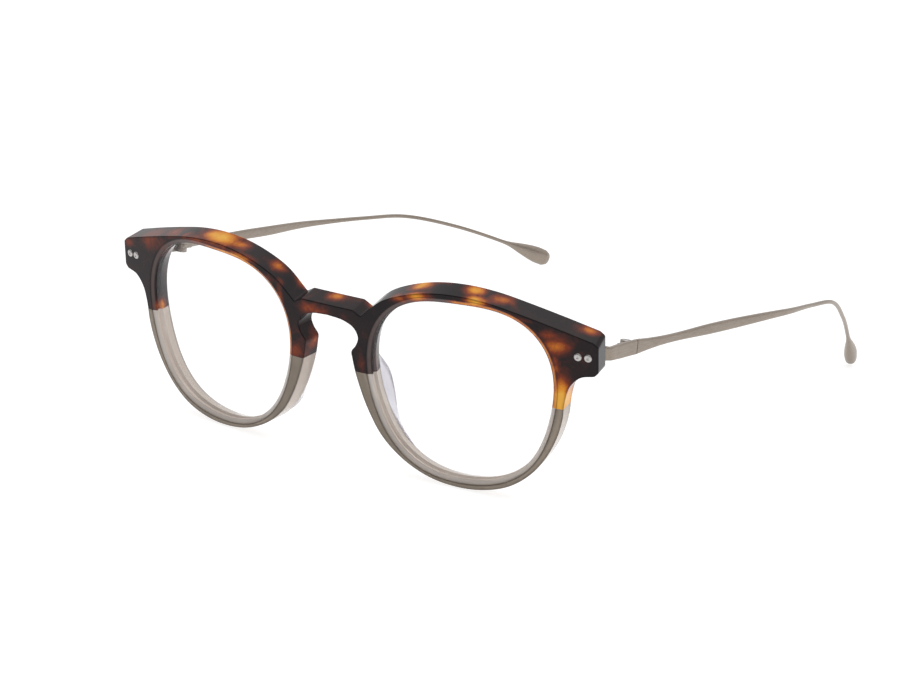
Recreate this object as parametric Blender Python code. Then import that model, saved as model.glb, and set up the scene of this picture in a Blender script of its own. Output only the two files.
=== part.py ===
"""Round acetate eyeglasses with a two-colour full-rim front, keyhole bridge and slim metal temples.

Sizes are in millimetres in this file and metres in the scene. The front is drawn flat: u to the
wearer's left, v up, depth d back from the front face. It is then bent to WRAP_R and tilted with
the temples about X, so that both rims and the lower temple tip stand on z = 0.
"""
import math

import bmesh
import bpy
import numpy as np
from mathutils import Matrix

MM = 0.001

# ---- front ----
THICK = 5.0             # acetate thickness
WRAP_R = 284.0          # radius of the face-form curve
TOP_DRAFT = 1.2         # the back of the top edge stands this much above its front
SPLIT_V = -0.55         # level of the colour joint
SPLIT_GAP = 0.05
EYE_U, EYE_R = 34.0, 21.9                       # lens centre and mean radius
EYE_WAVES = ((2, 0.89, 0.21), (3, -0.11, 0.77), (4, -0.58, -0.02), (5, -0.06, 0.09))
LIP_WIDTH, LIP_DEPTH = 1.0, 0.6                 # chamfer round each lens opening
GROOVE = 0.6
FLARE = 0.9             # the opening widens this much from the lens seat to the back
STRIP = 4.5             # the flat pieces are cut this wide before they are bent

# ---- hinge and temples ----
SLOPE = 0.195           # fall of a temple per unit length, against the front
AXIS = (62.6, 24.5, 9.0)
TAB_H, TAB_T = 3.3, 1.0
KNUCKLE_R, BORE_R, PIN_R = 1.2, 0.63, 0.55
RIVET_U, RIVET_V, RIVET_R = (62.1, 64.4), 12.0, 0.9
LOWER = {1: 0.8, -1: -0.8}    # share of ARCH that sets the left arm below the mean, the right above
FLAT = 0.12             # depth of the flat under each rim


# ---------- helpers ----------
def collection(name, hidden=False):
    made = bpy.data.collections.new(name)
    bpy.context.scene.collection.children.link(made)
    made.hide_render = hidden
    return made


def material(name, colour, metallic=0.0, rough=0.3, clear=0.0):
    m = bpy.data.materials.new(name)
    m.use_nodes = True
    p = m.node_tree.nodes["Principled BSDF"]
    p.inputs["Base Color"].default_value = (*colour, 1)
    p.inputs["Metallic"].default_value = metallic
    p.inputs["Roughness"].default_value = rough
    p.inputs["Transmission Weight"].default_value = clear
    return m


def spline(points, corners=(), step=1.6):
    """Smooth polyline through the points; a point listed in corners keeps a sharp turn."""
    pts = np.array(points, float)
    out = []
    for i in range(len(pts) - 1):
        p1, p2 = pts[i], pts[i + 1]
        p0 = 2 * p1 - p2 if i == 0 or i in corners else pts[i - 1]
        p3 = 2 * p2 - p1 if i + 2 >= len(pts) or i + 1 in corners else pts[i + 2]
        length = np.linalg.norm(p2 - p1)
        a, b = (max(np.linalg.norm(q), 1e-6) for q in (p1 - p0, p3 - p2))
        m1 = ((p1 - p0) / a + (p2 - p1) / length) / 2 * length
        m2 = ((p2 - p1) / length + (p3 - p2) / b) / 2 * length
        n = max(1, math.ceil(length / step))
        t = (np.arange(n) / n)[:, None]
        out.append((2 * t**3 - 3 * t**2 + 1) * p1 + (t**3 - 2 * t**2 + t) * m1
                   + (3 * t**2 - 2 * t**3) * p2 + (t**3 - t**2) * m2)
    return np.concatenate(out + [pts[-1:]])


def eye(offset=0.0, n=96):
    """Lens opening of the +X side: radius as a mean and a few waves, moved out by the offset."""
    th = np.arange(n) * 2 * np.pi / n
    r = EYE_R + sum(c * np.cos(k * th) + s * np.sin(k * th) for k, c, s in EYE_WAVES)
    p = np.stack([EYE_U + r * np.cos(th), r * np.sin(th)], 1)
    d = np.roll(p, -1, 0) - np.roll(p, 1, 0)
    out = np.stack([d[:, 1], -d[:, 0]], 1) / np.linalg.norm(d, axis=1)[:, None]
    return p + offset * out


def stack(name, rings, where):
    """Closed body through rings of equal length; each ring is an (n, 3) array."""
    bm = bmesh.new()
    rows = [[bm.verts.new(p) for p in ring] for ring in rings]
    n = len(rows[0])
    for a, b in zip(rows, rows[1:]):
        for i in range(n):
            bm.faces.new((a[i], a[(i + 1) % n], b[(i + 1) % n], b[i]))
    bm.faces.new(rows[0][::-1])
    bm.faces.new(rows[-1])
    bmesh.ops.recalc_face_normals(bm, faces=bm.faces)
    if bm.calc_volume(signed=True) < 0:
        bmesh.ops.reverse_faces(bm, faces=bm.faces)
    mesh = bpy.data.meshes.new(name)
    bm.to_mesh(mesh)
    bm.free()
    obj = bpy.data.objects.new(name, mesh)
    where.objects.link(obj)
    return obj


def layer(outline, depth):
    """A (u, v) outline as a ring at one depth."""
    return np.stack([outline[:, 0], np.full(len(outline), depth), outline[:, 1]], 1)


def box(name, low, high, where):
    x, y, z = zip(low, high)
    ring = np.array([(x[0], y[0]), (x[1], y[0]), (x[1], y[1]), (x[0], y[1])])
    return stack(name, [np.column_stack([ring, np.full(4, h)]) for h in z], where)


def tube(name, centre, radius, z0, z1, where, n=24):
    th = np.arange(n) * 2 * np.pi / n
    ring = np.stack([centre[0] + radius * np.cos(th), centre[1] + radius * np.sin(th)], 1)
    return stack(name, [np.column_stack([ring, np.full(n, h)]) for h in (z0, z1)], where)


def combine(obj, others, operation):
    """Applies one exact Boolean per other object and gives obj the resulting mesh."""
    for other in others:
        m = obj.modifiers.new(operation.lower(), "BOOLEAN")
        m.operation, m.solver, m.object = operation, "EXACT", other
    bpy.context.view_layer.update()
    graph = bpy.context.evaluated_depsgraph_get()
    mesh = bpy.data.meshes.new_from_object(obj.evaluated_get(graph))
    obj.modifiers.clear()
    obj.data = mesh
    return obj


def copy_of(obj, name, where):
    made = bpy.data.objects.new(name, obj.data.copy())
    where.objects.link(made)
    return made


def edit(obj, change):
    bm = bmesh.new()
    bm.from_mesh(obj.data)
    change(bm)
    bm.to_mesh(obj.data)
    bm.free()


def cut_strips(obj):
    """Cuts the flat piece across u, so that it bends smoothly."""
    def change(bm):
        us = [v.co.x for v in bm.verts]
        first, last = math.ceil(min(us) / STRIP + 0.02), math.floor(max(us) / STRIP - 0.02)
        for i in range(first, last + 1):
            bmesh.ops.bisect_plane(bm, geom=bm.verts[:] + bm.edges[:] + bm.faces[:], dist=1e-4,
                                   plane_co=(i * STRIP, 0, 0), plane_no=(1, 0, 0))
        bmesh.ops.triangulate(bm, faces=bm.faces)
    edit(obj, change)


def bend(points):
    """Flat (u, depth, v) to the wrapped front."""
    p = np.asarray(points, float)
    turn = p[:, 0] / WRAP_R
    return np.stack([np.sin(turn) * (WRAP_R - p[:, 1]),
                     WRAP_R - np.cos(turn) * (WRAP_R - p[:, 1]), p[:, 2]], 1)


def points_of(obj):
    co = np.empty(len(obj.data.vertices) * 3)
    obj.data.vertices.foreach_get("co", co)
    return co.reshape(-1, 3)


def set_points(obj, co):
    obj.data.vertices.foreach_set("co", np.asarray(co, float).ravel())
    obj.data.update()


def mirrored(obj, name, where):
    made = copy_of(obj, name, where)
    set_points(made, points_of(made) * (-1, 1, 1))
    edit(made, lambda bm: bmesh.ops.reverse_faces(bm, faces=bm.faces))
    return made


def sweep(name, path, heights, widths, where, n=16, power=2.6):
    """Rounded bar along a path; heights lie across it upwards and widths lie across it sideways."""
    path = np.asarray(path, float)
    t = np.gradient(path, axis=0)
    t /= np.linalg.norm(t, axis=1)[:, None]
    side = np.cross(t, (0, 0, 1))
    side /= np.linalg.norm(side, axis=1)[:, None]
    up = np.cross(side, t)
    th = np.arange(n) * 2 * np.pi / n
    c, s = np.cos(th), np.sin(th)
    c, s = (np.sign(q) * np.abs(q) ** (2 / power) for q in (c, s))
    rings = [p + np.outer(c * w / 2, a) + np.outer(s * h / 2, b)
             for p, a, b, h, w in zip(path, side, up, heights, widths)]
    return stack(name, rings, where)


bpy.data.batch_remove([*bpy.data.objects, *bpy.data.meshes, *bpy.data.collections])
bpy.context.scene.unit_settings.system = "METRIC"
parts = collection("eyeglasses")
tools = collection("construction", hidden=True)

# ---------- front plate, flat ----------
# Half outline from the middle of the bridge top, over the brow and round the end piece, down the
# outside of the rim, up the nose side and over the keyhole to the middle again.
half = [(0, 13.9), (7.1, 13.9), (9.2, 12.8), (14.5, 17.2), (20.0, 19.6), (27.0, 21.3), (34.5, 21.8),
        (42.0, 21.2), (49.0, 19.8), (58.0, 17.6), (65.6, 15.5), (66.7, 14.6), (66.7, 8.8),
        (65.8, 7.9), (62.6, 7.2), (60.2, 4.8), (59.0, 1.0), (58.5, -3.0), (57.2, -7.5), (54.7, -12.5),
        (50.8, -17.3), (45.5, -21.0), (38.5, -23.0), (31.5, -23.2), (25.5, -22.1), (19.2, -19.2),
        (14.0, -14.8), (10.6, -9.4), (8.4, -4.2), (7.2, -0.4), (6.6, 2.4), (6.4, 4.0),
        (7.6, 5.6), (8.3, 7.6), (7.3, 9.6), (4.6, 10.9), (0, 11.4)]
corners = (1, 2, 10, 11, 12, 13)
right_way = spline(half, corners)
left_way = (right_way * (-1, 1))[1:-1][::-1]
outline = np.concatenate([right_way, left_way])
raised = outline + np.outer(outline[:, 1] > 12.3, (0, TOP_DRAFT))
plate = stack("plate", [layer(outline, 0), layer(outline, 0.02), layer(raised, THICK)], tools)

lead = 1.0
profile = ((-lead, LIP_WIDTH * (1 + lead / LIP_DEPTH)), (LIP_DEPTH, 0), (0.95, 0), (1.4, GROOVE),
           (1.8, GROOVE), (2.25, 0), (2.45, 0), (THICK, FLARE), (THICK + lead, FLARE))
opening = stack("opening", [layer(eye(o), d) for d, o in profile], tools)
opening_2 = mirrored(opening, "opening_2", tools)
holes = []
for u in RIVET_U:
    for side in (1, -1):
        th = np.arange(20) * 2 * np.pi / 20
        ring = np.stack([side * u + (RIVET_R + 0.05) * np.cos(th), RIVET_V + (RIVET_R + 0.05) * np.sin(th)], 1)
        holes.append(stack("rivet_hole", [layer(ring, d) for d in (-1, THICK + 1)], tools))
combine(plate, [opening, opening_2, *holes], "DIFFERENCE")
edge = SPLIT_V + SPLIT_GAP / 2
above = box("above", (-90, -5, edge), (90, 15, 60), tools)
below = {1: box("below_left", (0, -5, -60), (90, 15, edge - SPLIT_GAP), tools),
         -1: box("below_right", (-90, -5, -60), (0, 15, edge - SPLIT_GAP), tools)}
brow = combine(copy_of(plate, "front_brow", parts), [above], "INTERSECT")
rims = {s: combine(copy_of(plate, "lower_rim_" + n, parts), [below[s]], "INTERSECT")
        for s, n in ((1, "left"), (-1, "right"))}
lens_profile = ((0.85, -0.25), (1.48, 0.35), (1.72, 0.35), (2.35, -0.25))
lens = stack("lens_left", [layer(eye(o), d) for d, o in lens_profile], parts)
lenses = {1: lens, -1: mirrored(lens, "lens_right", parts)}

# nose pads: a low ridge behind the nose side of each rim, leaning towards the lens as it rises
PAD_V = (4.2, 1.5, -1.5, -6.0, -10.5, -14.0, -16.8, -18.6)
PAD_IN = (7.2, 7.3, 7.9, 9.5, 11.8, 14.0, 16.6, 18.8)         # foot, nose side
PAD_OUT = (9.2, 10.6, 10.9, 11.6, 13.9, 16.4, 18.6, 20.2)     # foot, lens side
PAD_TOP = (8.4, 9.6, 11.7, 12.8, 13.3, 14.2, 16.4, 19.0)      # crest
PAD_RISE = (0.5, 1.7, 2.3, 2.6, 2.6, 2.4, 1.6, 0.5)
rows = []
for v in np.linspace(PAD_V[0], PAD_V[-1], 17):
    u0, u1, top, rise = (np.interp(-v, -np.array(PAD_V), q) for q in (PAD_IN, PAD_OUT, PAD_TOP, PAD_RISE))
    foot = THICK + 0.06
    ring = [(u0, foot), (u0 + 0.15 * (top - u0), foot + 0.55 * rise), (u0 + 0.55 * (top - u0), foot + 0.88 * rise),
            (top - 0.25, foot + rise), (top + 0.15, foot + 0.93 * rise), (top + 0.3, foot + 0.75 * rise),
            (u1 + 0.55 * (top + 0.1 - u1), foot + 0.4 * rise), (u1, foot)]
    rows.append(np.array([(u, d, v) for u, d in ring]))
pad = stack("nose_pad_left", rows, parts)
pads = {1: pad, -1: mirrored(pad, "nose_pad_right", parts)}

for obj in (brow, *rims.values(), *lenses.values(), *pads.values()):
    cut_strips(obj)
    set_points(obj, bend(points_of(obj)))

# ---------- rivets ----------
rivets = []
for side, word in ((1, "left"), (-1, "right")):
    for u, place in zip(RIVET_U, ("inner", "outer")):
        th = np.arange(20) * 2 * np.pi / 20
        rings = [np.stack([side * u + r * np.cos(th), np.full(20, d), RIVET_V + r * np.sin(th)], 1)
                 for d, r in ((-0.22, 0.55), (-0.16, 0.8), (0.0, RIVET_R), (THICK + 0.04, RIVET_R))]
        rivet = stack(f"rivet_{word}_{place}", rings, parts)
        set_points(rivet, bend(points_of(rivet)))
        rivets.append(rivet)

# ---------- metal tab behind each end piece ----------
foot = bend([(59.6, THICK + 0.6, 0), (61.5, THICK + 0.6, 0), (63.3, THICK + 0.6, 0)])[:, :2]
plan = [*foot, (64.35, 14.3), (64.6, 17.5), (64.6, 21.5), (64.7, 25.3)]
level = AXIS[2] - SLOPE * (25.3 - AXIS[1])
way = spline(plan, step=1.0)
zs = np.interp(way[:, 1], [foot[2][1], 15.0, 25.3], [11.4, 10.7, level])
tab = sweep("tab_left", np.column_stack([way, zs]), np.interp(way[:, 1], [12.5, 14.5, 19], [3.6, 3.0, TAB_H]),
            np.full(len(way), TAB_T), parts, n=16, power=5)

# ---------- hinge, in a frame on its own axis ----------
to_front = (Matrix.Translation(AXIS) @ Matrix.Rotation(-math.atan(SLOPE), 4, "X")).to_4x4()
near, far = 0.75, 1.4     # the plate runs this far inside the tab
heights = {"front": ((-1.5, -0.55), (0.45, 1.2)), "temple": ((-0.45, 0.35),)}
leaves = {}
for kind, way_y in (("front", (-5.0, 0.0)), ("temple", (0.0, 6.0))):
    grip = (-5.0, -1.4) if kind == "front" else (1.5, 4.6)
    tall = 1.15 if kind == "front" else 1.1
    leaf = box(f"hinge_{kind}_leaf_left", (near, grip[0], -tall), (far, grip[1], tall), parts)
    adds = []
    for z0, z1 in heights[kind]:
        adds.append(tube("barrel", (0, 0), KNUCKLE_R, z0, z1, tools))
        adds.append(box("web", (near - 0.1, min(way_y[0] + 0.3, 0) if kind == "front" else 0.0, z0),
                        (KNUCKLE_R - 0.02, 0.0 if kind == "front" else 3.0, z1), tools))
    combine(leaf, adds, "UNION")
    combine(leaf, [tube("bore", (0, 0), BORE_R, -3, 3, tools), tube("sink", (0, 0), 0.95, 0.82, 3, tools)],
            "DIFFERENCE")
    leaf.data.transform(to_front)
    leaves[kind] = leaf
th = np.arange(20) * 2 * np.pi / 20
rings = [np.stack([r * np.cos(th), r * np.sin(th), np.full(20, z)], 1)
         for z, r in ((-1.6, PIN_R), (0.86, PIN_R), (0.88, 0.88), (1.2, 0.88), (1.28, 0.75))]
pin = stack("hinge_screw_left", rings, parts)
combine(pin, [box("slot", (-2, -0.12, 1.05), (2, 0.12, 3), tools)], "DIFFERENCE")
pin.data.transform(to_front)


# ---------- temples ----------
# Points along the +X arm, and how far each lies above the mean of the two arms on that side.
ARM = ((64.72, 25.46, AXIS[2] - SLOPE * 0.96, 0), (65.6, 38.0, 6.35, 0.5), (67.4, 62.0, 1.65, 1.2),
       (69.1, 79.2, -1.6, 1.6), (69.2, 87.7, -3.4, 1.6), (67.0, 104.1, -7.05, 1.0),
       (64.8, 119.3, -11.05, 0.35), (59.7, 135.8, -19.5, -1.8), (53.5, 151.8, -29.6, -3.8),
       (48.2, 165.3, -39.7, -6.3))


def temple(side):
    """Metal temple of the +X side: blade, wire, ear bend and flat paddle in one piece."""
    line = spline([(x, y, z + LOWER[side] * rise) for x, y, z, rise in ARM], step=0.4)
    run = np.concatenate([[0], np.cumsum(np.linalg.norm(np.diff(line, axis=0), axis=1))])
    end = run[-1]
    stops = np.concatenate([np.linspace(0, end - 18, 52), np.linspace(end - 17, end - 2, 13),
                            [end - 1.2, end - 0.6, end - 0.2, end]])
    path = np.stack([np.interp(stops, run, line[:, i]) for i in range(3)], 1)
    tall = np.interp(stops, *zip((0, TAB_H), (5.5, 2.5), (9, 2.0), (14, 1.85), (21, 2.0), (26, 2.4),
                                 (34, 2.5), (42, 2.35), (50, 2.0), (59, 1.6), (71, 1.13), (80, 1.0),
                                 (end - 17.5, 0.95), (end - 15, 1.3), (end - 11, 2.9), (end - 7, 4.2),
                                 (end - 4, 4.8), (end - 2, 4.5), (end - 0.6, 3.4), (end, 2.0)))
    wide = np.interp(stops, *zip((0, TAB_T), (80, 1.0), (end - 17.5, 1.0), (end - 14, 1.4), (end - 10, 2.4),
                                 (end - 6, 3.3), (end - 3.5, 3.5), (end - 1.8, 3.1), (end - 0.6, 2.2), (end, 1.2)))
    return sweep("temple_" + ("left" if side > 0 else "right"), path, tall, wide, parts)


temples = {1: temple(1), -1: temple(-1)}
set_points(temples[-1], points_of(temples[-1]) * (-1, 1, 1))
edit(temples[-1], lambda bm: bmesh.ops.reverse_faces(bm, faces=bm.faces))
tabs = {1: tab, -1: mirrored(tab, "tab_right", parts)}
leaf_front = {1: leaves["front"], -1: mirrored(leaves["front"], "hinge_front_leaf_right", parts)}
leaf_temple = {1: leaves["temple"], -1: mirrored(leaves["temple"], "hinge_temple_leaf_right", parts)}
pins = {1: pin, -1: mirrored(pin, "hinge_screw_right", parts)}

# ---------- stance: tilt about X until the rims and the lower tip share one level ----------
everything = [o for o in parts.objects]
front_points = np.concatenate([points_of(r) for r in rims.values()])
tip_points = points_of(temples[1])


def lowest(points, turn):
    return (points[:, 1] * math.sin(turn) + points[:, 2] * math.cos(turn)).min()


low, high = 0.0, 0.3
for _ in range(40):
    middle = (low + high) / 2
    if lowest(tip_points, middle) > lowest(front_points, middle) + FLAT:
        high = middle
    else:
        low = middle
stance = (low + high) / 2
floor = lowest(front_points, stance) + FLAT
pose = Matrix.Translation((0, 0, -floor)) @ Matrix.Rotation(stance, 4, "X")
ys = np.concatenate([points_of(o) @ np.array(pose)[1, :3] for o in everything])
middle_y = (ys.min() + ys.max()) / 2
pose = Matrix.Translation((0, -middle_y, 0)) @ pose
for obj in everything:
    obj.data.transform(pose)
ground = box("ground", (-80, -120, -5), (80, 0, 0), tools)
for rim in rims.values():
    combine(rim, [ground], "DIFFERENCE")

# ---------- origins, materials, scale ----------
tortoise = material("tortoise_acetate", (0.16, 0.05, 0.03), rough=0.15)
smoke = material("grey_acetate", (0.42, 0.35, 0.30), rough=0.2, clear=0.4)
clear = material("clear_acetate", (0.9, 0.88, 0.9), rough=0.1, clear=0.9)
demo = material("clear_lens", (0.98, 0.98, 0.98), rough=0.02, clear=1.0)
metal = material("brushed_metal", (0.42, 0.38, 0.34), metallic=1.0, rough=0.35)
bright = material("bright_metal", (0.7, 0.68, 0.65), metallic=1.0, rough=0.25)
looks = {brow: tortoise, **{o: smoke for o in rims.values()}, **{o: clear for o in pads.values()},
         **{o: demo for o in lenses.values()}, **{o: bright for o in (*rivets, *pins.values())}}
for obj in everything:
    obj.data.materials.clear()
    obj.data.materials.append(looks.get(obj, metal))
    side = -1 if obj.name.endswith("right") else 1
    moving = obj in (*temples.values(), *leaf_temple.values())
    origin = pose @ Matrix.Translation((side * AXIS[0], *AXIS[1:])) if moving else Matrix()
    at = origin.to_translation() if moving else Matrix().to_translation()
    obj.data.transform(Matrix.Translation(-at))
    obj.data.transform(Matrix.Scale(MM, 4))
    obj.location = at * MM
bpy.data.batch_remove([o for o in tools.objects])
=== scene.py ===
"""Round eyeglasses with a two-colour acetate front and brushed metal arms.

The front is worked out flat, in millimetres: u to the wearer's left, v up, d back from the front
face. place() bends it to the face-form curve, leans it with the arms and puts it in the frame, in
metres. Every shaped piece is a grid of points: a profile carried along a line, or a face ruled
between two lines.
"""
import math

import bmesh
import bpy
import numpy as np
from mathutils import Matrix


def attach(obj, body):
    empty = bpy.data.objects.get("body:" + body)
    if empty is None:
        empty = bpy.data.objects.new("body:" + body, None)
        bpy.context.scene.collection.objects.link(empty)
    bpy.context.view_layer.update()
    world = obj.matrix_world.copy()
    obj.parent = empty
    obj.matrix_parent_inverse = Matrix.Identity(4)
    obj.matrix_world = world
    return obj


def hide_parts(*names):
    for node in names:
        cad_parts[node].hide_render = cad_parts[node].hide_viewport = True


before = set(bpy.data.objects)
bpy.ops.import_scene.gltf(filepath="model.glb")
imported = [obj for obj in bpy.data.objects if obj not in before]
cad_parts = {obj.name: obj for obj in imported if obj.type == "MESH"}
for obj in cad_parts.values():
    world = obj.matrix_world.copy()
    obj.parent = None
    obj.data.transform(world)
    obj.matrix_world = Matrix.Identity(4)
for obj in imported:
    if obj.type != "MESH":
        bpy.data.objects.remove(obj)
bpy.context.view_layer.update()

MM = 0.001
# Sheet thickness, face-form radius, rise of the back of the top edge, height of the colour joint
# and the gap there.
THICK, WRAP_R, TOP_DRAFT, SPLIT_V, JOINT = 5.0, 284.0, 1.2, -0.55, 0.004
# The lens opening: its centre and mean radius, then (wave number, cosine part, sine part).
EYE_U, EYE_R = 34.0, 21.9
EYE_WAVES = ((2, 0.89, 0.21), (3, -0.11, 0.77), (4, -0.58, -0.02), (5, -0.06, 0.09))
# How far the front leans back, and the shifts that put the object on the floor and in the middle.
LEAN, FLOOR, MIDDLE_Y = math.radians(7.907), 22.6818, 84.2031
SLOPE, AXIS = 0.195, (62.6, 24.5, 9.0)     # fall of the arms, and the hinge's own place
TAB_END = 25.3                             # where the tab stops, just short of the arm
EAR_SHARE = 0.8                            # how far the ear bends differ: a share of ARM's last column
RIVET_V, RIVET_U = 12.0, (("inner", 62.1), ("outer", 64.4))
NECK_FROM, NECK_TO = 161.0, 149.0          # degrees round the eye where the neck meets the bridge
FRONT_EDGE, BACK_EDGE = 0.2, 0.32          # radii of the polished edges


# ---------- lines ----------
def smooth_line(points, corners=(), step=0.3):
    """Cubic pieces through the points, each leaving a point along the mean of its two chords.

    A point listed in corners keeps its turn: the chord is carried straight on there."""
    pts = np.array(points, float)
    out = []
    for i in range(len(pts) - 1):
        p1, p2 = pts[i], pts[i + 1]
        p0 = 2 * p1 - p2 if i == 0 or i in corners else pts[i - 1]
        p3 = 2 * p2 - p1 if i + 2 >= len(pts) or i + 1 in corners else pts[i + 2]
        length = np.linalg.norm(p2 - p1)
        a, b = (max(np.linalg.norm(q), 1e-6) for q in (p1 - p0, p3 - p2))
        m1 = ((p1 - p0) / a + (p2 - p1) / length) / 2 * length
        m2 = ((p2 - p1) / length + (p3 - p2) / b) / 2 * length
        n = max(1, math.ceil(length / step))
        t = (np.arange(n) / n)[:, None]
        out.append((2 * t**3 - 3 * t**2 + 1) * p1 + (t**3 - 2 * t**2 + t) * m1
                   + (3 * t**2 - 2 * t**3) * p2 + (t**3 - t**2) * m2)
    return np.concatenate(out + [pts[-1:]])


def run_of(line):
    """Distance run along a line, at each of its points."""
    return np.concatenate([[0], np.cumsum(np.linalg.norm(np.diff(line, axis=0), axis=1))])


def at(line, places):
    """Points of a line at fractional places in its list of points."""
    n = np.arange(len(line))
    return np.stack([np.interp(places, n, line[:, i]) for i in range(line.shape[1])], -1)


def eye_line(offset, theta):
    """Lens opening: radius is a mean and four waves of the angle, moved out along its normal."""
    r = EYE_R + sum(c * np.cos(k * theta) + s * np.sin(k * theta) for k, c, s in EYE_WAVES)
    dr = sum(k * (s * np.cos(k * theta) - c * np.sin(k * theta)) for k, c, s in EYE_WAVES)
    c, s = np.cos(theta), np.sin(theta)
    p = np.stack([EYE_U + r * c, r * s], -1)
    out = np.stack([dr * s + r * c, r * s - dr * c], -1)
    return p + offset * out / np.linalg.norm(out, axis=-1)[..., None]


def place(p):
    """Flat (u, v, d) in millimetres to the frame in metres: bent, leaned and set down."""
    p = np.asarray(p, float)
    turn = p[..., 0] / WRAP_R
    radius = WRAP_R - p[..., 2]
    return lean(np.stack([np.sin(turn) * radius, WRAP_R - np.cos(turn) * radius, p[..., 1]], -1))


def lean(p):
    """Front's own axes in millimetres to the frame in metres."""
    p = np.asarray(p, float)
    c, s = math.cos(LEAN), math.sin(LEAN)
    return np.stack([p[..., 0], p[..., 1] * c - p[..., 2] * s - MIDDLE_Y,
                     p[..., 1] * s + p[..., 2] * c + FLOOR], -1) * MM


# ---------- meshes ----------
def grid_faces(rows, columns, start=0, loop=False):
    """Four-cornered faces of a rows by columns grid; loop joins the last column to the first."""
    r, c = np.meshgrid(np.arange(rows - 1), np.arange(columns if loop else columns - 1), indexing="ij")
    n = (c + 1) % columns
    return start + np.stack([r * columns + c, r * columns + n, (r + 1) * columns + n,
                             (r + 1) * columns + c], -1).reshape(-1, 4)


def make(name, patches, body, nodes, material, sheet=None, crease=38, loops=None):
    """One closed piece out of grids of points that share their edges, welded together."""
    points, faces, total = [], [], 0
    for k, patch in enumerate(patches):
        rows, columns = patch.shape[:2]
        faces.append(grid_faces(rows, columns, total, bool(loops and loops[k])))
        points.append(patch.reshape(-1, 3))
        total += rows * columns
    points, faces = np.concatenate(points), np.concatenate(faces)
    where = np.round(points / 2e-4).astype(np.int64)
    _, first, index = np.unique(where, axis=0, return_index=True, return_inverse=True)
    flat, faces = points[first], index.reshape(-1)[faces]
    kept = []
    for f in faces.tolist():
        f = [a for i, a in enumerate(f) if a != f[i - 1]]
        if len(set(f)) > 2 and len(set(f)) == len(f):
            kept.append(f)
    mesh = bpy.data.meshes.new(name)
    mesh.from_pydata((place(flat) if sheet else flat * MM).tolist(), [], kept)
    if sheet:
        held = mesh.attributes.new("sheet", "FLOAT_VECTOR", "POINT")
        held.data.foreach_set("vector", flat.astype(np.float32).ravel())
    return finish_piece(name, mesh, body, nodes, material, crease)


def finish_piece(name, mesh, body, nodes, material, crease=38):
    bm = bmesh.new()
    bm.from_mesh(mesh)
    bmesh.ops.recalc_face_normals(bm, faces=bm.faces)
    if bm.calc_volume(signed=True) < 0:
        bmesh.ops.reverse_faces(bm, faces=bm.faces)
    bm.to_mesh(mesh)
    bm.free()
    mesh.shade_smooth()
    mesh.set_sharp_from_angle(angle=math.radians(crease))
    mesh.materials.append(material)
    piece = bpy.data.objects.new(name, mesh)
    bpy.context.scene.collection.objects.link(piece)
    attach(piece, body)
    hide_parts(*nodes)
    return piece


def swept(path, heights, widths, n=28, power=3.0):
    """Rounded bar: a superellipse of each height and width, square to the path, side out and up.

    Returns its rings and the path's direction at each."""
    path = np.asarray(path, float)
    t = np.gradient(path, axis=0)
    t /= np.linalg.norm(t, axis=1)[:, None]
    side = np.cross(t, (0, 0, 1))
    side /= np.linalg.norm(side, axis=1)[:, None]
    up = np.cross(side, t)
    th = np.arange(n) * 2 * np.pi / n
    c, s = np.cos(th), np.sin(th)
    p = np.broadcast_to(np.asarray(power, float), (len(path),))[:, None]
    c, s = (np.sign(q) * np.abs(q)[None, :] ** (2 / p) for q in (c, s))
    body = (path[:, None] + (c * widths[:, None] / 2)[..., None] * side[:, None]
            + (s * heights[:, None] / 2)[..., None] * up[:, None])
    return body, t


def capped(body, t, nose=0.12, steps=4):
    """Adds a rounded end to both ends of a swept bar, inside its own length, closed to a point."""
    def end(ring, back):
        centre = ring.mean(0)
        a = np.linspace(0, np.pi / 2, steps + 1)[1:]
        shrink, move = np.cos(a) * 0.12 + 0.88, np.sin(a) * nose
        rings = [centre + (ring - centre) * q + back * m for q, m in zip(shrink, move)]
        return np.stack(rings + [centre + (rings[-1] - centre) * q for q in (0.6, 0.3, 0.0)])
    first, last = end(body[0] + t[0] * nose, -t[0]), end(body[-1] - t[-1] * nose, t[-1])
    body = body.copy()
    body[0] += t[0] * nose
    body[-1] -= t[-1] * nose
    return np.concatenate([first[::-1], body, last])


def turned(profile, centre, n=40):
    """Round piece about the depth direction: (depth, radius) rows carried round a circle."""
    th = np.arange(n) * 2 * np.pi / n
    d, r = np.array(profile, float).T
    return np.stack([centre[0] + r[:, None] * np.cos(th), centre[1] + r[:, None] * np.sin(th),
                     np.repeat(d[:, None], n, 1)], -1)


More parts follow.
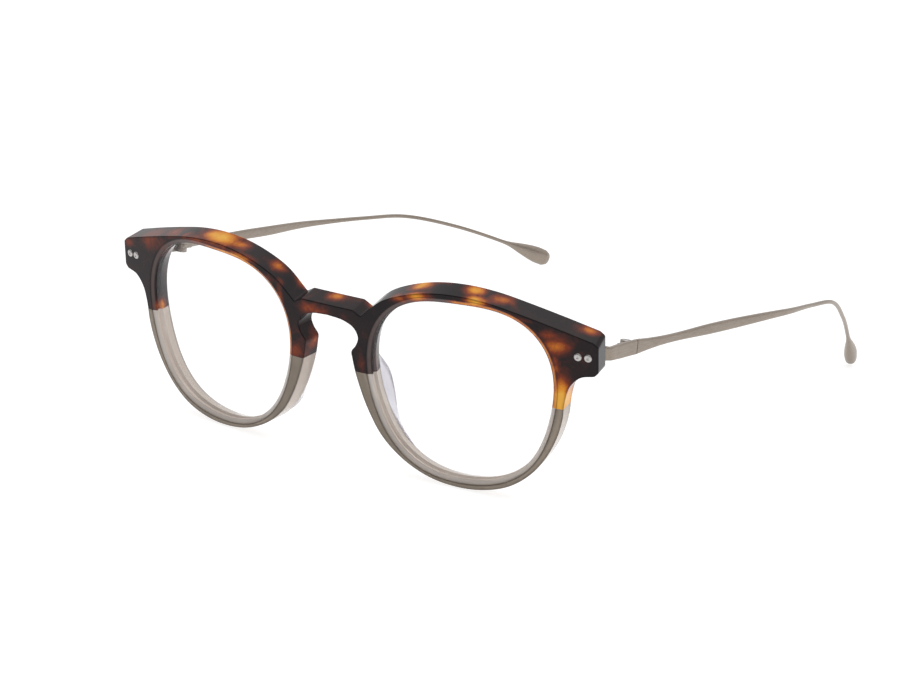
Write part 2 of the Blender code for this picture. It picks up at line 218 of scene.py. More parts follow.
# ---------- materials ----------
class Nodes:
    """Small helper that adds shader nodes and joins them."""

    def __init__(self, name):
        self.material = bpy.data.materials.new(name)
        self.material.use_nodes = True
        self.tree = self.material.node_tree
        self.shader = self.tree.nodes["Principled BSDF"]

    def add(self, kind, settings=None, **inputs):
        node = self.tree.nodes.new(kind)
        for key, value in (settings or {}).items():
            setattr(node, key, value)
        for key, value in inputs.items():
            self.put(node, key.replace("_", " "), value)
        return node

    def put(self, node, key, value):
        socket = node.inputs[key]
        if isinstance(value, bpy.types.NodeSocket):
            self.tree.links.new(value, socket)
        else:
            socket.default_value = value

    def number(self, operation, *values, clamp=False):
        node = self.add("ShaderNodeMath", {"operation": operation, "use_clamp": clamp})
        for i, value in enumerate(values):
            if isinstance(value, bpy.types.NodeSocket):
                self.tree.links.new(value, node.inputs[i])
            else:
                node.inputs[i].default_value = value
        return node.outputs[0]

    def ramp(self, value, stops, smooth=True):
        node = self.add("ShaderNodeValToRGB", Fac=value)
        node.color_ramp.interpolation = "EASE" if smooth else "LINEAR"
        while len(node.color_ramp.elements) < len(stops):
            node.color_ramp.elements.new(0.5)
        for element, (place_, colour) in zip(node.color_ramp.elements, stops):
            element.position, element.color = place_, (*colour, 1)
        return node.outputs["Color"]

    def noise(self, where, scale, detail=2.0, rough=0.5, distortion=0.0):
        return self.add("ShaderNodeTexNoise", Vector=where, Scale=scale, Detail=detail, Roughness=rough,
                        Distortion=distortion).outputs["Fac"]

    def set(self, **inputs):
        for key, value in inputs.items():
            self.put(self.shader, key.replace("_", " "), value)


# Amber clouds in the sheet, in millimetres: u, v, d, then half sizes along u, v and d, and strength.
AMBER = ((-34.0, 23.0, 2.6, 5.6, 3.0, 3.2, 1.0), (-40.0, 21.0, 0.3, 7.0, 1.6, 2.6, 0.42),
         (-27.5, 22.4, 2.4, 3.6, 1.6, 2.0, 0.55), (-26.0, 20.0, 0.0, 5.5, 1.0, 1.3, 0.7),
         (-17.0, 18.6, 3.2, 3.2, 1.5, 1.8, 0.62), (-13.4, 10.0, 0.4, 1.1, 9.0, 1.2, 0.55),
         (-20.0, 16.5, 0.2, 4.0, 1.2, 1.2, 0.6), (0.2, 14.9, 3.4, 2.6, 1.6, 1.8, 0.62),
         (-3.5, 12.0, 0.4, 4.5, 1.6, 2.2, 0.42), (22.8, 22.2, 3.6, 3.8, 2.0, 2.6, 1.0),
         (23.8, 20.2, 0.0, 3.2, 1.6, 1.5, 0.8), (19.0, 19.0, 0.2, 3.0, 1.0, 1.5, 0.42),
         (37.0, 22.6, 3.4, 2.8, 1.5, 2.2, 0.86), (38.4, 21.2, 0.2, 2.8, 1.8, 2.0, 0.85),
         (43.0, 21.0, 3.0, 3.4, 1.6, 2.0, 0.6), (46.0, 18.6, 0.3, 5.0, 0.6, 0.8, 0.62),
         (57.4, 13.6, 0.0, 3.4, 2.0, 2.2, 0.56), (55.4, 16.0, 0.6, 3.0, 1.2, 1.5, 0.4),
         (58.2, 1.4, 1.6, 2.4, 4.8, 5.0, 1.12), (56.8, 9.0, 0.4, 1.2, 3.0, 1.5, 0.5),
         (63.4, 17.0, 3.6, 2.6, 1.5, 1.8, 0.6), (-64.8, 14.6, 0.5, 2.2, 1.4, 2.6, 0.42),
         (-56.0, 17.5, 1.8, 8.0, 4.0, 4.0, 0.27), (-50.0, 20.5, 1.5, 5.0, 1.6, 3.0, 0.4),
         (-55.8, 0.2, 2.0, 1.3, 1.9, 1.8, 0.75), (-10.2, 0.6, 1.6, 3.4, 2.6, 3.4, 0.42),
         (-7.4, 3.0, 3.4, 1.6, 2.4, 2.0, 0.6), (13.0, 3.0, 4.0, 1.6, 3.6, 2.4, 0.55),
         (9.0, 2.0, 0.4, 1.4, 2.4, 1.4, 0.3), (-60.0, 9.0, 4.6, 3.0, 3.0, 1.6, 0.8),
         (-30.0, 21.0, 5.2, 4.0, 2.6, 1.5, 0.8), (10.0, 13.0, 5.2, 3.0, 2.4, 1.5, 0.7),
         (50.0, 17.0, 5.2, 4.5, 2.2, 1.5, 0.8), (28.0, 22.0, 5.4, 3.0, 2.0, 1.5, 0.6),
         (-12.0, 15.0, 5.2, 3.0, 2.0, 1.4, 0.6), (62.0, 11.0, 5.2, 2.4, 3.0, 1.5, 0.6))


def amber_and_painted_glow_of(flat):
    """Amber strength at each point: the largest of the soft round clouds, each a falling bell, and of
    the light painted as amber along the chamfers.
    """
    best = np.zeros(len(flat))
    for u, v, d, a, b, c, strength in AMBER:
        q = ((flat[:, 0] - u) / a) ** 2 + ((flat[:, 1] - v) / b) ** 2 + ((flat[:, 2] - d) / c) ** 2
        best = np.maximum(best, strength * np.exp(-q))
    return np.maximum(best, painted_lip_glow(flat))


def painted_lip_glow(flat):
    """Painted light: light that leaves through the thin chamfer round each opening, painted as amber
    colour: a bell about the chamfer's own line, kept to the stretch of each eye where the sheet behind
    it is amber."""
    theta = np.arctan2(flat[:, 1], np.abs(flat[:, 0]) - EYE_U)
    r = EYE_R + sum(c * np.cos(k * theta) + s * np.sin(k * theta) for k, c, s in EYE_WAVES)
    off = np.hypot(np.abs(flat[:, 0]) - EYE_U, flat[:, 1]) - r
    bell = np.exp(-((off - 0.45) / 0.55) ** 2 - (flat[:, 2] / 0.75) ** 4)
    turn = (np.degrees(theta) + 90) % 360 - 90
    left = np.clip((104 - turn) / 12, 0, 1)
    right = np.clip((turn - 72) / 14, 0, 1)
    return bell * np.where(flat[:, 0] > 0, left, right) * 0.72


def tortoise():
    n = Nodes("tortoise_acetate")
    where = n.add("ShaderNodeAttribute", {"attribute_name": "sheet"}).outputs["Vector"]
    # the amber attribute holds the sheet's amber clouds and the light painted as amber along the
    # chamfers
    amber_and_painted_glow = n.add("ShaderNodeAttribute", {"attribute_name": "amber"}).outputs["Fac"]
    cloud = n.noise(where, 0.28, 4.0, 0.55, 0.6)
    fine = n.noise(where, 1.5, 3.0, 0.6)
    broad = n.noise(where, 0.09, 2.0, 0.5)
    level = amber_and_painted_glow
    for noise, middle, strength, clamp in ((cloud, 0.5, 0.55, False), (fine, 0.5, 0.14, True),
                                           (broad, 0.40, 0.38, True)):
        drift = n.number("MULTIPLY", n.number("SUBTRACT", noise, middle), strength)
        level = n.number("ADD", level, drift, clamp=clamp)
    colour = n.ramp(level, ((0.0, (0.009, 0.005, 0.0065)), (0.12, (0.020, 0.0075, 0.0085)),
                            (0.24, (0.075, 0.014, 0.008)), (0.42, (0.22, 0.034, 0.008)),
                            (0.60, (0.55, 0.14, 0.010)), (0.78, (0.84, 0.31, 0.02)),
                            (0.98, (0.95, 0.48, 0.06))), smooth=False)
    plain = n.number("SUBTRACT", 1.0, level, clamp=True)
    # painted highlight on the chamfer where the sheet is dark, and painted dark lines along the
    # polished edges
    colour = painted_edge_light(n, colour, (0.22, 0.17, 0.16), (0.004, 0.003, 0.004), 0.5, plain)
    n.set(Base_Color=colour, Roughness=0.11, IOR=1.48, Specular_IOR_Level=0.2)
    ripple = n.noise(where, 0.35, 1.0)
    bump = n.add("ShaderNodeBump", Strength=0.04, Distance=0.0002, Height=ripple)
    n.set(Normal=bump.outputs["Normal"])
    return n.material


def painted_edge_light(n, colour, light, dark, strength, where_dark=1.0):
    """Painted highlight on the chamfer round an opening, where it catches light, and painted dark lines
    along the polished
    edges beside it: the edge attribute is above zero on the one and below zero on the other."""
    edge = n.add("ShaderNodeAttribute", {"attribute_name": "edge"}).outputs["Fac"]
    share = n.number("MULTIPLY", where_dark, strength)
    lit = n.number("MULTIPLY", n.number("MAXIMUM", edge, 0.0), share, clamp=True)
    below = n.number("MAXIMUM", n.number("MULTIPLY", edge, -1.0), 0.0)
    dim = n.number("MULTIPLY", below, strength * 1.2, clamp=True)
    for share, tone in ((lit, light), (dim, dark)):
        mix = n.add("ShaderNodeMix", {"data_type": "RGBA"})
        n.tree.links.new(share, mix.inputs[0])
        n.tree.links.new(colour, mix.inputs[6])
        mix.inputs[7].default_value = (*tone, 1)
        colour = mix.outputs[2]
    return colour


def smoke():
    n = Nodes("smoke_acetate")
    where = n.add("ShaderNodeAttribute", {"attribute_name": "sheet"}).outputs["Vector"]
    cloud = n.noise(where, 0.12, 3.0, 0.5, 0.4)
    # face is the sheet's own tone; the paler wall tone is painted light on the walls, mixed in by the
    # pale attribute
    face = n.ramp(cloud, ((0.3, (0.31, 0.252, 0.19)), (0.7, (0.38, 0.31, 0.238))))
    painted_wall_light_tone = n.ramp(cloud, ((0.3, (0.80, 0.69, 0.615)), (0.7, (0.87, 0.755, 0.675))))
    pale = n.add("ShaderNodeAttribute", {"attribute_name": "pale"}).outputs["Fac"]
    mix = n.add("ShaderNodeMix", {"data_type": "RGBA"})
    for socket, value in ((0, pale), (6, face), (7, painted_wall_light_tone)):
        n.tree.links.new(value, mix.inputs[socket])
    # painted highlight on the chamfer and painted dark lines along the polished edges
    colour = painted_edge_light(n, mix.outputs[2], (0.90, 0.85, 0.82), (0.05, 0.042, 0.038), 0.75)
    n.set(Base_Color=colour, Roughness=0.12, IOR=1.48, Transmission_Weight=0.42, Specular_IOR_Level=0.4)
    return n.material


def clear(name, tint, rough, weight):
    n = Nodes(name)
    where = n.add("ShaderNodeTexCoord").outputs["Object"]
    cloud = n.noise(where, 60.0, 2.0)
    colour = n.ramp(cloud, ((0.2, tint), (0.8, tuple(min(1.0, c * 1.02) for c in tint))))
    n.set(Base_Color=colour, Roughness=rough, IOR=1.48, Transmission_Weight=weight)
    return n.material


def lens_clear():
    n = Nodes("clear_lens")
    where = n.add("ShaderNodeTexCoord").outputs["Object"]
    film = n.noise(where, 25.0, 2.0)
    colour = n.ramp(film, ((0.2, (0.93, 0.95, 0.97)), (0.8, (0.97, 0.98, 1.0))))
    n.set(Base_Color=colour, Roughness=0.02, IOR=1.5, Alpha=0.05)
    return n.material


def brushed(name, dark, light, rough, along=(160.0, 9.0, 160.0), strength=0.12):
    """Fine scratches along the arm: noise stretched on Object coordinates, in colour, gloss and
    height."""
    n = Nodes(name)
    where = n.add("ShaderNodeTexCoord").outputs["Object"]
    scale = tuple(40.0 * a for a in along)
    stretched = n.add("ShaderNodeMapping", Vector=where, Scale=scale).outputs["Vector"]
    grain = n.noise(stretched, 1.0, 3.0, 0.6)
    patch = n.noise(where, 60.0, 2.0, 0.5)
    mixed = n.number("ADD", n.number("MULTIPLY", grain, 0.75), n.number("MULTIPLY", patch, 0.25))
    n.set(Base_Color=n.ramp(mixed, ((0.3, dark), (0.7, light))), Metallic=1.0)
    n.set(Roughness=n.number("ADD", rough, n.number("MULTIPLY", n.number("SUBTRACT", grain, 0.5), 0.2)))
    bump = n.add("ShaderNodeBump", Strength=strength, Distance=0.00003, Height=grain)
    n.set(Normal=bump.outputs["Normal"])
    return n.material


TORTOISE, SMOKE, LENS = tortoise(), smoke(), lens_clear()
CRYSTAL = clear("clear_acetate", (0.92, 0.90, 0.965), 0.08, 0.62)
METAL = brushed("brushed_metal", (0.25, 0.208, 0.172), (0.345, 0.292, 0.247), 0.36, strength=0.05)
STEEL = brushed("bright_steel", (0.42, 0.40, 0.39), (0.52, 0.50, 0.49), 0.32, (60.0, 60.0, 60.0), 0.05)

# ---------- outline of the front ----------
HALF = [(0, 13.9), (7.1, 13.9), (9.2, 12.8), (14.5, 17.2), (20.0, 19.6), (27.0, 21.3), (34.5, 21.8),
        (42.0, 21.2), (49.0, 19.8), (58.0, 17.6), (65.6, 15.5), (66.7, 14.6), (66.7, 8.8),
        (65.8, 7.9), (62.6, 7.2), (60.2, 4.8), (59.0, 1.0), (58.5, -3.0), (57.2, -7.5), (54.7, -12.5),
        (50.8, -17.3), (45.5, -21.0), (38.5, -23.0), (31.5, -23.2), (25.5, -22.1), (19.2, -19.2),
        (14.0, -14.8), (10.6, -9.4), (8.4, -4.2), (7.2, -0.4), (6.6, 2.4), (6.4, 4.0),
        (7.6, 5.6), (8.3, 7.6), (7.3, 9.6), (4.6, 10.9), (0, 11.4)]
CORNERS = (1, 2, 10, 11, 12, 13)
FINE = 0.04


def even(line, step):
    """The line again, with its points a step apart."""
    run = run_of(line)
    stops = np.linspace(0, run[-1], max(2, round(run[-1] / step)) + 1)
    return np.stack([np.interp(stops, run, line[:, i]) for i in range(2)], 1)


def softened(line, width):
    """A closed line with every sharp turn rounded: a running bell-shaped mean of its points."""
    k = np.arange(-round(3 * width / FINE), round(3 * width / FINE) + 1)
    bell = np.exp(-0.5 * (k * FINE / width) ** 2)
    bell /= bell.sum()
    long = np.concatenate([line[-len(k):], line, line[:len(k)]])
    out = np.stack([np.convolve(long[:, i], bell, "same") for i in range(2)], 1)
    return out[len(k):-len(k)]


right_half = even(smooth_line(HALF, CORNERS, 0.1), FINE)
loop = softened(np.concatenate([right_half, (right_half * (-1, 1))[1:-1][::-1]]), 0.17)
OUTER = loop[:len(right_half)]
OUTER[0, 0] = OUTER[-1, 0] = 0.0
ahead = np.roll(loop, -1, 0) - np.roll(loop, 1, 0)
ahead /= np.linalg.norm(ahead, axis=1)[:, None]
INWARD = np.stack([ahead[:, 1], -ahead[:, 0]], 1)[:len(right_half)]
INWARD[0], INWARD[-1] = (0, -1), (0, 1)
turning = np.linalg.norm(np.roll(ahead, -1, 0) - np.roll(ahead, 1, 0), axis=1) / (2 * FINE)
turning = turning[:len(right_half)]
CROWD = np.concatenate([[0], np.cumsum(FINE * (1 / 0.55 + 1.1 * np.minimum(turning, 8))[1:])])


def nearest(point):
    return int(np.argmin(((OUTER - point) ** 2).sum(1)))


def level_crossing(values, level, low, high):
    """Fractional place between low and high where the values pass the level."""
    part = values[low:high]
    i = np.flatnonzero((part[:-1] - level) * (part[1:] - level) <= 0)[0]
    return low + i + (level - part[i]) / (part[i + 1] - part[i])


def raised(points, d):
    """The back of the top edge stands higher: a shift up that grows with depth, above v = 12."""
    lift = TOP_DRAFT * d / THICK * np.clip((points[..., 1] - 11.7) / 0.6, 0, 1)
    return np.stack([points[..., 0], points[..., 1] + lift], -1)


def wall_rows():
    """(inset, depth) down the outside: front edge arc, straight wall, back edge arc."""
    a = np.linspace(0, np.pi / 2, 6)
    front = np.stack([FRONT_EDGE * (1 - np.sin(a)), FRONT_EDGE * (1 - np.cos(a))], 1)
    back = np.stack([BACK_EDGE * (1 - np.sin(a)), THICK - BACK_EDGE * (1 - np.cos(a))], 1)[::-1]
    d = np.linspace(FRONT_EDGE + 0.08, THICK - BACK_EDGE - 0.08, 13)
    return np.concatenate([front, np.stack([0 * d, d], 1), back])


EYE_ROWS = np.array([(1.16, 0), (1.06, 0.01), (0.97, 0.05), (0.75, 0.18), (0.5, 0.32), (0.25, 0.46),
                     (0.08, 0.56), (0.02, 0.62), (0, 0.70), (0, 0.93), (0.05, 0.98), (0.55, 1.35),
                     (0.6, 1.45), (0.6, 1.75), (0.55, 1.85), (0.05, 2.22), (0, 2.28), (0.01, 2.42),
                     (0.04, 2.55), (0.3, 3.35), (0.6, 4.2), (0.80, 4.78), (0.88, 4.93), (1.0, 4.99),
                     (1.12, 5.0)])
WALL_ROWS = wall_rows()
TEMPORAL, NASAL = nearest((58.9, SPLIT_V)), nearest((7.2, SPLIT_V))
NOTCH, KEYHOLE = nearest((9.2, 12.8)), nearest((8.3, 7.6))


def wall_line(inset, depth, start, end, count, level):
    """Points of the outside wall at one inset and depth; start and end are places, or "t" / "n" for
    where this very line meets the colour joint on the temple or nose side."""
    line = raised(OUTER + inset * INWARD, depth)
    ends = []
    for e in (start, end):
        if e in ("t", "n"):
            near = TEMPORAL if e == "t" else NASAL
            e = level_crossing(line[:, 1], level, near - 60, near + 60)
        ends.append(np.interp(e, np.arange(len(CROWD)), CROWD))
    places = np.interp(np.linspace(*ends, count), CROWD, np.arange(len(CROWD)))
    flat = at(line, places)
    return np.column_stack([flat, np.full(count, depth)])


def wall(start, end, count, level):
    return np.stack([wall_line(b, d, start, end, count, level) for b, d in WALL_ROWS])


def eye_angles(offset, level, guess):
    """Angle near the guess at which the opening, moved out by the offset, is at this level."""
    th = np.linspace(guess - 0.25, guess + 0.25, 2001)
    v = eye_line(offset, th)[:, 1]
    return np.interp(level, *((v, th) if v[-1] > v[0] else (v[::-1], th[::-1])))


def eye_wall(shares, level, first, last):
    """Inside wall: each row runs from its own crossing of the joint to the other, by the shares."""
    rows = []
    for o, d in EYE_ROWS:
        a, b = eye_angles(o, level, first), eye_angles(o, level, last)
        rows.append(np.column_stack([eye_line(o, a + (b - a) * shares), np.full(len(shares), d)]))
    return np.stack(rows)


def ruled(a, b, count):
    """Straight-line face between two rows of points."""
    t = np.linspace(0, 1, count)[:, None, None]
    t = t * t * (3 - 2 * t) * 0.35 + t * 0.65
    return a[None] * (1 - t) + b[None] * t


def brow_half():
    """Upper half of one side, as grids: outside walls, eye wall, faces, neck and bridge faces."""
    level = SPLIT_V + JOINT / 2
    n_bridge, n_nose, n_brow, across = 34, 34, 150, 15
    top = wall(0, NOTCH, n_bridge, level)                    # bridge top, middle to notch
    brow = wall(NOTCH, "t", n_brow, level)                   # notch to the temple-side joint
    nose = wall("n", KEYHOLE, n_nose, level)                 # nose-side joint up to the keyhole
    under = wall(KEYHOLE, len(OUTER) - 1, n_bridge, level)   # keyhole to the middle
    neck = 12
    # shares of the eye arc, from the nose-side joint to the temple-side joint
    a, b = eye_angles(0, level, math.pi + 0.03), eye_angles(0, level, -0.02)
    nose_share = (a - np.radians(np.linspace(math.degrees(a), NECK_FROM, n_nose))) / (a - b)
    neck_share = (a - np.radians(np.linspace(NECK_FROM, NECK_TO, neck))) / (a - b)
    o = brow[0]
    angle = np.degrees(np.arctan2(o[:, 1], o[:, 0] - EYE_U))
    angle[0] = NECK_TO
    soft = np.minimum.accumulate(np.minimum(angle, NECK_TO))
    soft[-1] = math.degrees(b)
    for _ in range(60):
        soft[1:-1] = (soft[:-2] + 2 * soft[1:-1] + soft[2:]) / 4
    brow_share = (a - np.radians(soft)) / (a - b)
    shares = np.concatenate([nose_share, neck_share[1:-1], brow_share])
    inner = eye_wall(shares, level, math.pi + 0.03, -0.02)
    patches = [top, brow, nose, under, inner]
    for row in (0, -1):
        line = np.linspace(nose[row][-1], brow[row][0], neck)
        outer = np.concatenate([nose[row], line[1:-1], brow[row]])
        patches.append(ruled(inner[row], outer, across))
        # the bridge: ruled from under the arch up to the plateau, its side is the neck line
        shares = np.linspace(0, 1, neck)
        patches.append(np.stack([under[row] * (1 - t) + top[row][::-1] * t for t in shares]))
    for a_col, b_col in ((inner[:, 0], nose[:, 0]), (inner[:, -1], brow[:, -1])):
        patches.append(ruled(a_col, b_col, across))
    return patches


def rim_half():
    """Lower half of one rim: outside wall, eye wall, front, back and the two joint faces."""
    level = SPLIT_V - JOINT / 2
    count, across = 190, 13
    outer = wall("t", "n", count, level)
    o = outer[0]
    angle = np.unwrap(np.arctan2(o[:, 1], o[:, 0] - EYE_U))
    shares = (angle - angle[0]) / (angle[-1] - angle[0])
    inner = eye_wall(shares, level, -0.03, -math.pi + 0.03)
    patches = [outer, inner]
    for row in (0, -1):
        patches.append(ruled(inner[row], outer[row], across))
    for col in (0, -1):
        patches.append(ruled(inner[:, col], outer[:, col], across))
    return patches


def flip(patches):
    return [p * (-1, 1, 1) for p in patches]


half_brow = brow_half()
brow_piece = make("brow", half_brow + flip(half_brow), "front", ["front_brow"],
                  TORTOISE, sheet=True)


def past_eye(flat):
    """Distance of each point outside the lens opening's own line."""
    u = np.abs(flat[:, 0]) - EYE_U
    theta = np.arctan2(flat[:, 1], u)
    return np.hypot(u, flat[:, 1]) - np.hypot(*(eye_line(0, theta) - (EYE_U, 0)).T)


def painted_edge_light_of(flat):
    """Plus one on the chamfer round the opening, where a highlight is painted; minus one, for painted
    dark lines, in a thin line outside it and along the front edge of the outside wall, from each
    point's distance to the two outlines."""
    u, off = np.abs(flat[:, 0]), past_eye(flat)
    light = np.exp(-((off - 0.5) / 0.42) ** 4) * (flat[:, 2] < 0.7) * (off < 1.02)
    line = np.exp(-((off - 1.1) / 0.2) ** 2) * (flat[:, 2] < 0.05)
    rim = np.exp(-((flat[:, 2] - 0.08) / 0.15) ** 2) * (off > 1.5)
    near = np.concatenate([np.min((u[i:i + 400, None] - OUTER[None, ::8, 0]) ** 2
                                  + (flat[i:i + 400, 1, None] - OUTER[None, ::8, 1]) ** 2, 1)
                           for i in range(0, len(u), 400)])
    rim *= np.exp(-near / 0.12)
    back = np.exp(-((flat[:, 2] - 4.9) / 0.15) ** 2) * (off < 1.05)
    return light - np.maximum(np.maximum(line, rim), back)


def painted_wall_light_of(flat):
    """One on the inside and outside walls, where light that comes through the thin of the sheet is
    painted as a paler colour, and zero on the front and back faces."""
    off = past_eye(flat)
    deep = np.clip((flat[:, 2] - 0.15) / 0.3, 0, 1) * np.clip((THICK - 0.03 - flat[:, 2]) / 0.1, 0, 1)
    return deep * np.where(off < 1.1, np.interp(flat[:, 2], (2.2, 2.8), (1.0, 0.72)), 0.5)


def give(piece, name, values_of):
    flat = np.empty(len(piece.data.vertices) * 3, np.float32)
    piece.data.attributes["sheet"].data.foreach_get("vector", flat)
    made = piece.data.attributes.new(name, "FLOAT", "POINT")
    made.data.foreach_set("value", values_of(flat.reshape(-1, 3)).astype(np.float32))


# amber: the sheet's amber clouds, with light painted as amber along the chamfers
give(brow_piece, "amber", amber_and_painted_glow_of)
# edge: painted highlight on the chamfers and painted dark lines along the edges
give(brow_piece, "edge", painted_edge_light_of)
half_rim = rim_half()
for side, word in ((1, "left"), (-1, "right")):
    patches = half_rim if side > 0 else flip(half_rim)
    rim_piece = make(f"rim_{word}", patches, "front", [f"lower_rim_{word}"],
                     SMOKE, sheet=True)
    # edge: painted highlight on the chamfers and painted dark lines along the edges
    give(rim_piece, "edge", painted_edge_light_of)
    # pale: where painted light makes the walls paler
    give(rim_piece, "pale", painted_wall_light_of)

# ---------- lenses: two shallow domes and a V-shaped edge ----------
theta = np.linspace(0, 2 * np.pi, 145)[:-1]
LENS_EDGE = ((0.9, -0.32), (1.0, -0.18), (1.5, 0.36), (1.62, 0.42), (1.74, 0.36), (2.2, -0.18),
             (2.32, -0.32))                 # depth, distance past the opening
LENS_DOME = 0.28


def lens_rows():
    """Rings from the middle of the front dome, over the edge, to the middle of the back dome."""
    rim = eye_line(-0.32, theta)
    centre = np.array([EYE_U, 0.0])
    shares = np.array([0.0, 0.02, 0.15, 0.3, 0.45, 0.6, 0.74, 0.86, 0.95])

    def dome(depth, order):
        return [ring(centre + (rim - centre) * s, depth - LENS_DOME * (1 - s * s)) for s in order]

    def ring(points, depth):
        return np.column_stack([points, np.full(len(theta), depth)])

    return np.stack(dome(LENS_EDGE[0][0], shares) + [ring(eye_line(o, theta), d) for d, o in LENS_EDGE]
                    + dome(LENS_EDGE[-1][0], shares[::-1]))


lens = lens_rows()
for side, word in ((1, "left"), (-1, "right")):
    make(f"demo_lens_{word}", [lens * (side, 1, 1)], "front", [f"lens_{word}"],
         LENS, sheet=True, loops=[True])

# ---------- nose pads: level, inner foot, outer foot, crest and rise at eight places ----------
PAD_V = (4.2, 1.5, -1.5, -6.0, -10.5, -14.0, -16.8, -18.6)
PAD_IN = (7.2, 7.3, 7.9, 9.5, 11.8, 14.0, 16.6, 18.8)
PAD_OUT = (9.2, 10.6, 10.9, 11.6, 13.9, 16.4, 18.6, 20.2)
PAD_TOP = (8.4, 9.6, 11.7, 12.8, 13.3, 14.2, 16.4, 19.0)
PAD_RISE = (0.5, 1.7, 2.3, 2.6, 2.6, 2.4, 1.6, 0.5)


def pad_rows(count=46):
    """A low ridge: at each level a closed rounded profile from the foot on the nose side over the
    crest to the foot on the lens side; the sizes run smoothly from level to level."""
    keys = np.arange(len(PAD_V), dtype=float)
    fine = smooth_line(np.column_stack([keys * 3, PAD_V, PAD_IN, PAD_OUT, PAD_TOP, PAD_RISE]), step=0.2)
    t = np.linspace(0, len(fine) - 1, count)
    table = at(fine, t)
    shape = np.array([(0.0, 0.0, 0.0), (0.05, 0.0, 0.32), (0.2, 0.0, 0.6), (0.42, 0.0, 0.82),
                      (0.7, 0.0, 0.95), (0.9, 0.0, 1.0), (1.0, 0.06, 0.985), (1.0, 0.16, 0.92),
                      (1.0, 0.26, 0.8), (1.0, 0.4, 0.62), (1.0, 0.62, 0.38), (1.0, 0.86, 0.14),
                      (1.0, 1.0, 0.0)])
    foot = THICK + 0.04
    _, v, u0, u1, top, rise = table.T
    u = u0[:, None] + shape[:, 0] * (top - u0)[:, None] + shape[:, 1] * (u1 - top)[:, None]
    d = foot + shape[:, 2] * rise[:, None]
    close = np.linspace(1, 0, 7)[1:-1]
    u = np.concatenate([u, u0[:, None] + (u1 - u0)[:, None] * close], 1)
    d = np.concatenate([d, np.full((count, len(close)), foot)], 1)
    body = np.stack([u, np.repeat(v[:, None], u.shape[1], 1), d], -1)
    def end(ring):
        centre = ring.mean(0)
        return np.stack([centre + (ring - centre) * s for s in (0.0, 0.4, 0.8)])
    return np.concatenate([end(body[0]), body, end(body[-1])[::-1]])


pad = pad_rows()
for side, word in ((1, "left"), (-1, "right")):
    make(f"pad_{word}", [pad * (side, 1, 1)], "front", [f"nose_pad_{word}"],
         CRYSTAL, sheet=True, loops=[True], crease=50)

# ---------- rivets: polished head with a small ring and dimple ----------
RIVET = [(-0.24, 0.0), (-0.20, 0.08), (-0.15, 0.16), (-0.15, 0.24), (-0.22, 0.30), (-0.25, 0.38),
         (-0.245, 0.55), (-0.21, 0.72), (-0.15, 0.82), (-0.06, 0.885), (0.02, 0.9), (2.5, 0.9),
         (THICK + 0.02, 0.9), (THICK + 0.04, 0.86), (THICK + 0.04, 0.0)]
for side, word in ((1, "left"), (-1, "right")):
    for where, u in RIVET_U:
        make(f"rivet_pin_{word}_{where}", [turned(RIVET, (side * u, RIVET_V))], "front",
             [f"rivet_{word}_{where}"], STEEL, sheet=True, loops=[True], crease=50)

# ---------- metal tabs and arms ----------
def bend_only(p):
    """Flat (u, d) to the bent front seen from above."""
    turn, radius = p[..., 0] / WRAP_R, WRAP_R - p[..., 1]
    return np.stack([np.sin(turn) * radius, WRAP_R - np.cos(turn) * radius], -1)


foot = bend_only(np.array([(59.6, THICK + 0.6), (61.5, THICK + 0.6), (63.3, THICK + 0.6)]))
plan = [*foot, (64.35, 14.3), (64.6, 17.5), (64.6, 21.5), (64.7, TAB_END)]
joint_z = AXIS[2] - SLOPE * (TAB_END - AXIS[1])
way = smooth_line(plan, step=0.35)
tab_z = np.interp(way[:, 1], [foot[2][1], 15.0, TAB_END], [11.4, 10.7, joint_z])
tab_tall = np.interp(way[:, 1], [12.5, 14.5, 19], [3.6, 3.0, 3.3])
tab_rings = capped(*swept(np.column_stack([way, tab_z]), tab_tall, np.full(len(way), 1.0), power=6.0))

ARM = ((64.72, 25.46, AXIS[2] - SLOPE * 0.96, 0), (65.6, 38.0, 6.35, 0.5), (67.4, 62.0, 1.65, 1.2),
       (69.1, 79.2, -1.6, 1.6), (69.2, 87.7, -3.4, 1.6), (67.0, 104.1, -7.05, 1.0),
       (64.8, 119.3, -11.05, 0.35), (59.7, 135.8, -19.5, -1.8), (53.5, 151.8, -29.6, -3.8),
       (48.2, 165.3, -39.7, -6.3))


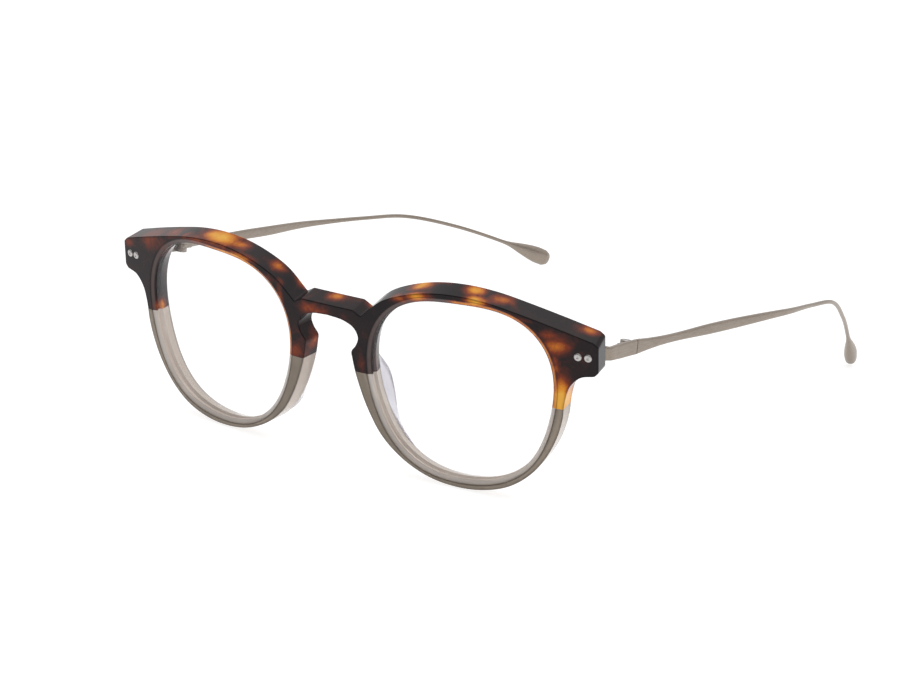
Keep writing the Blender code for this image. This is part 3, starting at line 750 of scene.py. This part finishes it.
def arm_rings(share):
    """The arm: blade at the hinge, thin wire, ear bend and flat paddle, its height and width given
    at distances run along it."""
    line = smooth_line([(x, y, z + share * rise) for x, y, z, rise in ARM], step=0.3)
    run = run_of(line)
    end = run[-1]
    stops = np.concatenate([np.linspace(0, end - 18, 190), np.linspace(end - 17.6, end - 1.5, 44),
                            end - np.array([1.1, 0.8, 0.5, 0.25, 0.1])])
    path = np.stack([np.interp(stops, run, line[:, i]) for i in range(3)], 1)
    tall = np.interp(stops, *zip((0, 3.3), (5.5, 2.5), (9, 2.0), (14, 1.85), (21, 2.0), (26, 2.4),
                                 (34, 2.5), (42, 2.35), (50, 2.0), (59, 1.6), (71, 1.13), (80, 1.0),
                                 (end - 17.5, 0.95), (end - 15, 1.3), (end - 11, 2.9),
                                 (end - 7, 4.2), (end - 4, 4.8), (end - 2, 4.5), (end - 0.6, 3.4),
                                 (end, 2.0)))
    wide = np.interp(stops, *zip((0, 1.0), (80, 1.0), (end - 17.5, 1.0), (end - 14, 1.4),
                                 (end - 10, 2.4), (end - 6, 3.3), (end - 3.5, 3.5),
                                 (end - 1.8, 3.1), (end - 0.6, 2.2), (end, 1.2)))
    soft = np.ones(9) / 9
    for _ in range(2):
        tall[8:-8] = np.convolve(tall, soft, "same")[8:-8]
        wide[8:-8] = np.convolve(wide, soft, "same")[8:-8]
    power = np.interp(stops, (0, 4, 60, 80, end - 12), (5.0, 3.2, 2.8, 2.1, 2.4))
    rings, t = swept(path, tall, wide, power=power)
    return capped(rings, t, nose=0.06)


for side, word in ((1, "left"), (-1, "right")):
    rings = tab_rings * (side, 1, 1)
    make(f"tab_strip_{word}", [lean(rings) / MM], "front", [f"tab_{word}"],
         METAL, loops=[True], crease=45)
    rings = arm_rings(EAR_SHARE * side) * (side, 1, 1)
    make(f"arm_{word}", [lean(rings) / MM], f"{word}_arm", [f"temple_{word}"],
         METAL, loops=[True], crease=45)
    for node, material in (("hinge_front_leaf", METAL), ("hinge_temple_leaf", METAL),
                           ("hinge_screw", STEEL)):
        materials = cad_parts[f"{node}_{word}"].data.materials
        materials.clear()
        materials.append(material)


# ---------- floor, light and camera ----------
def stage_floor(size=5.0):
    """A plain white floor, partly glowing, so that shadows on it stay faint."""
    mesh = bpy.data.meshes.new("floor")
    corners = [(-size, -size, 0), (size, -size, 0), (size, size, 0), (-size, size, 0)]
    mesh.from_pydata(corners, [], [(0, 1, 2, 3)])
    n = Nodes("floor_white")
    n.set(Base_Color=(0.4, 0.4, 0.4, 1), Roughness=0.9, Specular_IOR_Level=0.1,
          Emission_Color=(1, 1, 1, 1), Emission_Strength=0.78)
    mesh.materials.append(n.material)
    floor = bpy.data.objects.new("floor", mesh)
    floor.location = (0, 0, -0.0003)         # just under the rims
    bpy.context.scene.collection.objects.link(floor)


def softbox(name, at_, aim, size, power):
    """A rectangular lamp at a place, turned to face another."""
    data = bpy.data.lights.new(name, "AREA")
    data.shape, data.size, data.size_y, data.energy = "RECTANGLE", size[0], size[1], power
    lamp = bpy.data.objects.new(name, data)
    lamp.location = at_
    back = np.array(at_, float) - np.array(aim, float)
    back /= np.linalg.norm(back)
    x = np.cross((0, 0, 1) if abs(back[2]) < 0.99 else (0, 1, 0), back)
    x /= np.linalg.norm(x)
    y = np.cross(back, x)
    lamp.rotation_euler = Matrix(np.stack([x, y, back], 1).tolist()).to_euler()
    bpy.context.scene.collection.objects.link(lamp)


def studio_world():
    """Light from all round: bright above and behind, dark in front, and white where it is seen."""
    world = bpy.data.worlds.new("studio")
    bpy.context.scene.world = world
    world.use_nodes = True
    nodes, links = world.node_tree.nodes, world.node_tree.links
    direction = nodes.new("ShaderNodeTexCoord")
    toward = nodes.new("ShaderNodeVectorMath")
    toward.operation = "DOT_PRODUCT"
    toward.inputs[1].default_value = (0.0, 0.55, 0.835)
    fade = nodes.new("ShaderNodeMapRange")
    fade.interpolation_type = "SMOOTHSTEP"
    for key, value in (("From Min", -0.15), ("From Max", 0.7), ("To Min", 0.06), ("To Max", 0.92)):
        fade.inputs[key].default_value = value
    links.new(direction.outputs["Generated"], toward.inputs[0])
    links.new(toward.outputs["Value"], fade.inputs["Value"])
    seen = nodes.new("ShaderNodeLightPath")
    white = nodes.new("ShaderNodeMix")
    white.data_type = "RGBA"
    white.inputs[7].default_value = (1, 1, 1, 1)
    links.new(seen.outputs["Is Camera Ray"], white.inputs[0])
    links.new(fade.outputs["Result"], white.inputs[6])
    links.new(white.outputs[2], nodes["Background"].inputs["Color"])


stage_floor()
softbox("overhead", (0.2, 0.2, 1.6), (0, 0, 0), (2.2, 2.0), 8)
studio_world()

camera = bpy.data.objects.new("camera", bpy.data.cameras.new("camera"))
camera.data.sensor_width, camera.data.lens = 36.0, 106.3
camera.data.clip_start, camera.data.clip_end = 0.01, 30
x_axis, y_axis = (0.82193, 0.56649, 0.05938), (-0.19327, 0.17931, 0.96462)
back = (0.5358, -0.80432, 0.25686)
camera.rotation_euler = Matrix([[x_axis[i], y_axis[i], back[i]] for i in range(3)]).to_euler()
camera.location = (0.34024, -0.54644, 0.18110)
bpy.context.scene.collection.objects.link(camera)
bpy.context.scene.camera = camera
bpy.context.scene.view_settings.view_transform = "Standard"
bpy.context.scene.cycles.max_bounces = 16
bpy.context.scene.cycles.transmission_bounces = 12
bpy.context.scene.cycles.transparent_max_bounces = 16

bpy.context.view_layer.update()
